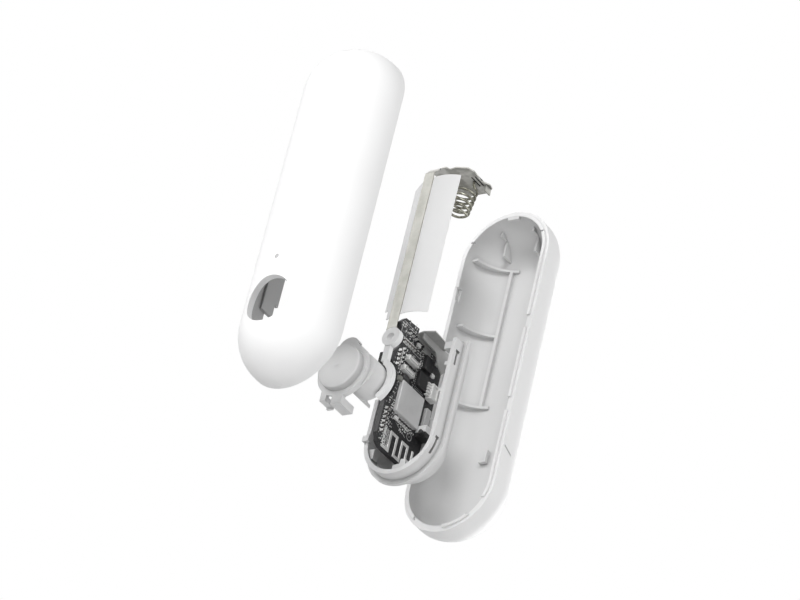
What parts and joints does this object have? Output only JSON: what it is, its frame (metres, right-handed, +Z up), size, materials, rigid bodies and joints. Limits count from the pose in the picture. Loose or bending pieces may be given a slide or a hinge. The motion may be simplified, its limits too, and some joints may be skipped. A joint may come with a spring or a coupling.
{
  "type": "door and window sensor",
  "caption": "Slim capsule-shaped door and window sensor, shown taken apart: domed front cover, round push button, board on edge in its carrier, battery contacts and back shell.",
  "frame": {"origin": "centre of the adhesive pad's wall face", "axes": "+X to the right seen from the front, +Y into the wall, +Z up along the case"},
  "size_m": [0.0232, 0.082, 0.082],
  "materials": {
    "cover_white": "smooth satin white plastic",
    "shell_white": "smooth satin white plastic, matt grey-white inside",
    "pad_foam": "closed-cell foam with adhesive",
    "clear_plastic": "frosted clear plastic",
    "button_grey": "satin light grey plastic",
    "arm_grey": "satin light grey plastic",
    "carrier_grey": "satin light grey plastic",
    "board_black": "black solder mask",
    "shield_steel": "stamped tinned steel",
    "module_steel": "stamped tinned steel",
    "chip_black": "black moulded package",
    "led_white": "clear cast resin",
    "ceramic_light": "light ceramic body",
    "ceramic_brown": "ceramic body with tinned ends",
    "resistor_black": "coated ceramic with tinned ends",
    "connector_white": "moulded nylon",
    "pin_metal": "plated pins",
    "trace_silver": "tinned trace",
    "switch_grey": "moulded body with steel cover",
    "plunger_black": "moulded plunger",
    "contact_steel": "nickel-plated spring steel",
    "film_white": "thin white polymer film"
  },
  "bodies": {
    "back": {"back_shell": "shell_white", "adhesive_pad": "pad_foam"},
    "electronics": {"carrier": "carrier_grey", "circuit_board": "board_black", "shield_can": "shield_steel", "radio_module": "module_steel", "controller_chip": "chip_black", "memory_chip": "chip_black", "crystal": "shield_steel", "status_led": "led_white", "inductors": "ceramic_light", "white_chips": "ceramic_light", "capacitors": "ceramic_brown", "resistors": "resistor_black", "connector_body": "connector_white", "connector_pins": "pin_metal", "antenna": "trace_silver", "reed_switch": "chip_black", "tact_switch": "switch_grey", "positive_contact": "contact_steel", "negative_contact": "contact_steel", "battery_spring": "contact_steel", "insulating_film": "film_white"},
    "button_arm": {"button_spring_arm": "arm_grey"},
    "button": {"button_cap": "button_grey"},
    "cover": {"front_cover": "cover_white", "light_pipe": "clear_plastic"},
    "plunger": {"switch_plunger": "plunger_black"}
  },
  "joints": [
    {"name": "module_slide", "type": "slide", "parent": "back", "child": "electronics", "axis": [0, 1, 0], "range_m": [0, 0.0185]},
    {"name": "button_slide", "type": "slide", "parent": "electronics", "child": "button_arm", "axis": [0, 1, 0], "range_m": [0, 0.016]},
    {"name": "cover_slide", "type": "slide", "parent": "button_arm", "child": "cover", "axis": [0, 1, 0], "range_m": [0, 0.02432]},
    {"name": "button_press", "type": "slide", "parent": "button_arm", "child": "button", "axis": [0, 1, 0], "range_m": [0, 0.0004], "stiffness_N_per_m": 2000},
    {"name": "switch_press", "type": "slide", "parent": "electronics", "child": "plunger", "axis": [0, 1, 0], "range_m": [0, 0.00025]}
  ],
  "couplings": [
    {"joint": "switch_press", "follows": "button_press", "ratio": 0.625}
  ]
}
